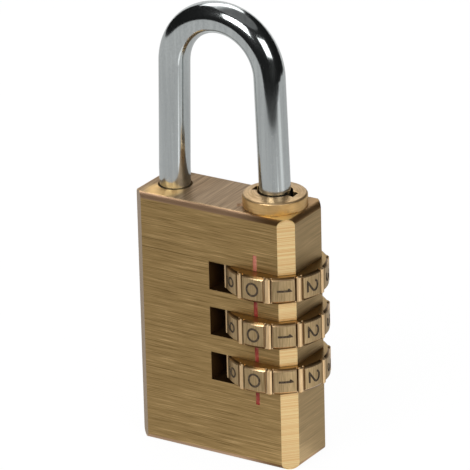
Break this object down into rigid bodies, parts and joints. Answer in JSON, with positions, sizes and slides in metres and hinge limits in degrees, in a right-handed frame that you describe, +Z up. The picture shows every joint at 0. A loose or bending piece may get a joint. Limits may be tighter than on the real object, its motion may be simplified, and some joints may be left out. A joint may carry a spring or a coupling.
{
  "type": "combination padlock",
  "caption": "Solid brass padlock with a steel shackle, a turned collar and number dials at one edge, opened by lifting the shackle at the right code.",
  "frame": {"origin": "middle of the flat underside of the body", "axes": "+Z up along the shackle legs, -Y out of the front face with the index line, +X towards the dials"},
  "size_m": [0.0324, 0.0168, 0.0763],
  "materials": {
    "body_brass": "brushed, grain across the front",
    "index_paint": "semi-gloss paint in a groove",
    "collar_brass": "turned, satin",
    "shackle_chrome": "polished plating",
    "dial_brass": "fine upright brushing",
    "sleeve_brass": "as machined",
    "spring_steel": "plain"
  },
  "bodies": {
    "case": {"body": "body_brass", "index_paint": "index_paint", "collar": "collar_brass", "click_washer_1": "spring_steel", "click_washer_2": "spring_steel", "click_washer_3": "spring_steel", "spacer_tube": "sleeve_brass", "thrust_washer": "spring_steel", "return_spring": "spring_steel"},
    "shackle": {"shackle": "shackle_chrome"},
    "dial_1": {"dial_1": "dial_brass", "code_sleeve_1": "sleeve_brass"},
    "dial_2": {"dial_2": "dial_brass", "code_sleeve_2": "sleeve_brass"},
    "dial_3": {"dial_3": "dial_brass", "code_sleeve_3": "sleeve_brass"}
  },
  "joints": [
    {"name": "shackle_lift", "type": "slide", "parent": "case", "child": "shackle", "axis": [0, 0, 1], "range_m": [0, 0.00792]},
    {"name": "dial_1_turn", "type": "hinge", "parent": "case", "child": "dial_1", "pos_m": [0.0089, 0, 0.0317], "axis": [0, 0, 1], "continuous": true},
    {"name": "dial_2_turn", "type": "hinge", "parent": "case", "child": "dial_2", "pos_m": [0.0089, 0, 0.0238], "axis": [0, 0, 1], "continuous": true},
    {"name": "dial_3_turn", "type": "hinge", "parent": "case", "child": "dial_3", "pos_m": [0.0089, 0, 0.0158], "axis": [0, 0, 1], "continuous": true}
  ]
}
